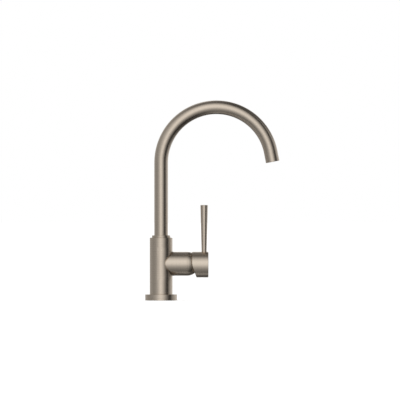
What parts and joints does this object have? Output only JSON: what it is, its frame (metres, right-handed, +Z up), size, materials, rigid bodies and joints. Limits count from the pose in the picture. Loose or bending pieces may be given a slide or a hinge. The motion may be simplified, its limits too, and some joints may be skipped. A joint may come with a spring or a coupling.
{
  "type": "gooseneck bar faucet",
  "caption": "Deck-mounted mixer tap: round column on a base ring, swivelling gooseneck spout, and a side branch with a domed cap, a hood and an upright pin lever.",
  "frame": {"origin": "on the body's axis, at the upper face of the deck that the base ring stands on", "axes": "+Z up the body; +X along the valve branch, the way the spout points at rest; +Y towards the hot inlet"},
  "size_m": [0.2343, 0.056, 0.394],
  "materials": {
    "champagne_nickel": "brushed, warm champagne nickel",
    "plain_brass": "turned, uncoated",
    "plain_steel": "plain stainless steel",
    "black_rubber": "matt black moulded rubber",
    "white_plastic": "off-white moulded plastic",
    "grey_plastic": "warm grey moulded plastic",
    "valve_ceramic": "lapped alumina ceramic"
  },
  "bodies": {
    "body": {"base_ring": "champagne_nickel", "base_gasket": "black_rubber", "body_seal": "black_rubber", "valve_body": "champagne_nickel", "mounting_shank": "plain_brass", "deck_gasket": "black_rubber", "clamp_washer": "plain_steel", "lock_nut": "plain_brass", "hot_port_seal": "black_rubber", "cold_port_seal": "black_rubber", "mixed_port_seal": "black_rubber", "cartridge_base": "white_plastic", "fixed_disc": "valve_ceramic", "cartridge_housing": "white_plastic", "retaining_nut": "plain_brass", "dome_cap": "champagne_nickel", "collar_nut": "champagne_nickel", "lower_slip_washer": "white_plastic", "upper_slip_washer": "white_plastic"},
    "spout": {"spout_stub": "plain_brass", "lower_spout_o_ring": "black_rubber", "upper_spout_o_ring": "black_rubber", "spout_tube": "champagne_nickel", "outlet_sleeve": "plain_brass", "aerator_washer": "black_rubber", "aerator_housing": "grey_plastic", "diffuser_disc": "white_plastic", "aerator_screen": "plain_steel"},
    "mixing": {"stem_carrier": "white_plastic", "pivot_pin": "plain_steel"},
    "disc": {"moving_disc": "valve_ceramic", "disc_driver": "white_plastic"},
    "handle": {"valve_stem": "plain_brass", "handle_hood": "champagne_nickel", "lever_pin": "champagne_nickel", "set_screw": "plain_steel", "screw_plug": "grey_plastic"}
  },
  "joints": [
    {"name": "spout_swivel", "type": "hinge", "parent": "body", "child": "spout", "pos_m": [0, 0, 0.1], "axis": [0, 0, 1], "continuous": true},
    {"name": "handle_mix", "type": "hinge", "parent": "body", "child": "mixing", "pos_m": [0, 0, 0.064], "axis": [1, 0, 0], "range_deg": [-50, 50]},
    {"name": "handle_lift", "type": "hinge", "parent": "mixing", "child": "handle", "pos_m": [0.0455, 0, 0.064], "axis": [0, 1, 0], "range_deg": [0, 24]},
    {"name": "disc_slide", "type": "slide", "parent": "mixing", "child": "disc", "axis": [0, 0, 1], "range_m": [0, 0.005]}
  ],
  "couplings": [
    {"joint": "disc_slide", "follows": "handle_lift", "m_per_rad": 0.01175}
  ]
}
